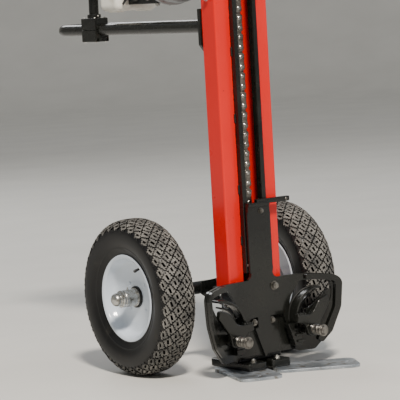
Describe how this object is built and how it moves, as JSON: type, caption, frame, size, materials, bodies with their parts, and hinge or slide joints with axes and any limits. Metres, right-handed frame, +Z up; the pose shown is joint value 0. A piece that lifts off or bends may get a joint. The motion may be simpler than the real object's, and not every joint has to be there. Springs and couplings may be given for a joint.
{
  "type": "chain-driven log splitter",
  "caption": "Walk-behind splitting rig: a slotted chain mast with a winged, pointed carriage sliding on it, two pneumatic wheels, a rear tube loop, a handle and a small petrol engine.",
  "frame": {"origin": "bottom centre of the object's box, on the ground plane under the space between the mast and the wheels", "axes": "+Z up along the mast, +Y to the rear, towards the loop and the handle, +X to the operator's right seen from the front"},
  "size_m": [0.6318, 1.0053, 1.212],
  "materials": {
    "red_paint": "glossy red paint with worn slot edges",
    "black_paint": "glossy black paint",
    "bright_steel": "bright zinc-plated steel",
    "chain_steel": "oiled dark steel",
    "plate_steel": "bare hot-rolled steel",
    "white_rim": "gloss white paint",
    "tyre_rubber": "dusty black rubber",
    "white_plastic": "translucent white polyethylene",
    "black_plastic": "black moulded plastic",
    "red_plastic": "red moulded plastic",
    "cast_aluminium": "as-cast aluminium",
    "grip_rubber": "matte black rubber"
  },
  "bodies": {
    "frame": {"mast_channel": "red_paint", "guide_rail_left": "black_paint", "guide_rail_right": "black_paint", "mast_top_cap": "black_paint", "mast_foot": "black_paint", "foot_pad_left": "black_paint", "foot_pad_right": "black_paint", "axle_bracket": "black_paint", "axle_shaft": "black_paint", "loop_plate": "black_paint", "head_bracket": "black_paint", "rear_loop": "black_paint", "clamp_upper": "black_paint", "clamp_lower": "black_paint", "handle_post": "black_paint", "handlebar": "black_paint", "tank_bracket": "black_paint", "muffler": "bright_steel", "drive_chain": "chain_steel", "ground_plate_left": "plate_steel", "ground_plate_right": "plate_steel", "fuel_tank": "white_plastic", "control_pod": "black_plastic", "crankcase": "black_plastic", "recoil_cover": "black_plastic", "recoil_grip": "black_plastic", "air_filter_housing": "black_plastic", "throttle_cable": "black_plastic", "gearbox_housing": "cast_aluminium", "clutch_housing": "cast_aluminium", "cylinder_block": "cast_aluminium", "handle_grip_left": "grip_rubber", "handle_grip_right": "grip_rubber"},
    "carriage": {"carriage_plate": "black_paint", "wing_rim_left": "black_paint", "wing_rim_right": "black_paint", "striker_bar": "black_paint", "guide_shoe_left": "bright_steel", "guide_shoe_right": "bright_steel", "chain_anchor": "chain_steel", "plate_bolt": "bright_steel", "pivot_bolt_left": "bright_steel", "pivot_bolt_right": "bright_steel", "pivot_spring_left": "bright_steel", "pivot_spring_right": "bright_steel"},
    "jaw_left": {"jaw_left": "black_paint"},
    "jaw_right": {"jaw_right": "black_paint"},
    "head_sprocket": {"head_sprocket": "chain_steel"},
    "foot_idler": {"foot_idler": "chain_steel"},
    "wheel_left": {"tyre_left": "tyre_rubber", "rim_left": "white_rim", "hub_left": "bright_steel"},
    "wheel_right": {"tyre_right": "tyre_rubber", "rim_right": "white_rim", "hub_right": "bright_steel"},
    "throttle_lever": {"throttle_lever": "black_plastic"},
    "stop_button": {"stop_button": "red_plastic"},
    "fuel_cap": {"fuel_cap": "black_plastic"},
    "gear_selector": {"gear_selector": "bright_steel"},
    "choke_lever": {"choke_lever": "black_plastic"}
  },
  "joints": [
    {"name": "carriage_slide", "type": "slide", "parent": "frame", "child": "carriage", "axis": [0, 0, 1], "range_m": [0, 0.508]},
    {"name": "jaw_left_pivot", "type": "hinge", "parent": "carriage", "child": "jaw_left", "pos_m": [-0.123, -0.4013, 0.1], "axis": [0, 1, 0], "range_deg": [0, 30], "stiffness_Nm_per_rad": 1.2, "springref_deg": -34.38},
    {"name": "jaw_right_pivot", "type": "hinge", "parent": "carriage", "child": "jaw_right", "pos_m": [0.123, -0.4013, 0.1], "axis": [0, -1, 0], "range_deg": [0, 30], "stiffness_Nm_per_rad": 1.2, "springref_deg": -34.38},
    {"name": "head_sprocket_turn", "type": "hinge", "parent": "frame", "child": "head_sprocket", "pos_m": [-0.03319, -0.2993, 1.13], "axis": [0, -1, 0], "range_deg": [-5, 905]},
    {"name": "foot_idler_turn", "type": "hinge", "parent": "frame", "child": "foot_idler", "pos_m": [-0.03319, -0.2993, 0.2918], "axis": [0, -1, 0], "range_deg": [-5, 905]},
    {"name": "wheel_left_spin", "type": "hinge", "parent": "frame", "child": "wheel_left", "pos_m": [-0.2329, -0.1135, 0.208], "axis": [1, 0, 0], "continuous": true},
    {"name": "wheel_right_spin", "type": "hinge", "parent": "frame", "child": "wheel_right", "pos_m": [0.2329, -0.1135, 0.208], "axis": [1, 0, 0], "continuous": true},
    {"name": "throttle_lever_squeeze", "type": "hinge", "parent": "frame", "child": "throttle_lever", "pos_m": [-0.009, 0.2987, 1.053], "axis": [0, -1, 0], "range_deg": [0, 9], "stiffness_Nm_per_rad": 0.6, "springref_deg": -17.19},
    {"name": "stop_button_press", "type": "slide", "parent": "frame", "child": "stop_button", "axis": [0, 0, -1], "range_m": [0, 0.002], "stiffness_N_per_m": 400, "springref_m": -0.002},
    {"name": "fuel_cap_turn", "type": "hinge", "parent": "frame", "child": "fuel_cap", "pos_m": [0, 0.1997, 1.0464], "axis": [0, 0, 1], "range_deg": [0, 90]},
    {"name": "gear_selector_swing", "type": "hinge", "parent": "frame", "child": "gear_selector", "pos_m": [-0.0945, -0.2103, 1.093], "axis": [1, 0, 0], "range_deg": [-15, 15]},
    {"name": "choke_lever_turn", "type": "hinge", "parent": "frame", "child": "choke_lever", "pos_m": [-0.1105, 0.0297, 1.146], "axis": [1, 0, 0], "range_deg": [-60, 0]}
  ],
  "couplings": [
    {"joint": "head_sprocket_turn", "follows": "carriage_slide", "rad_per_m": 30.921},
    {"joint": "foot_idler_turn", "follows": "carriage_slide", "rad_per_m": 30.921}
  ]
}
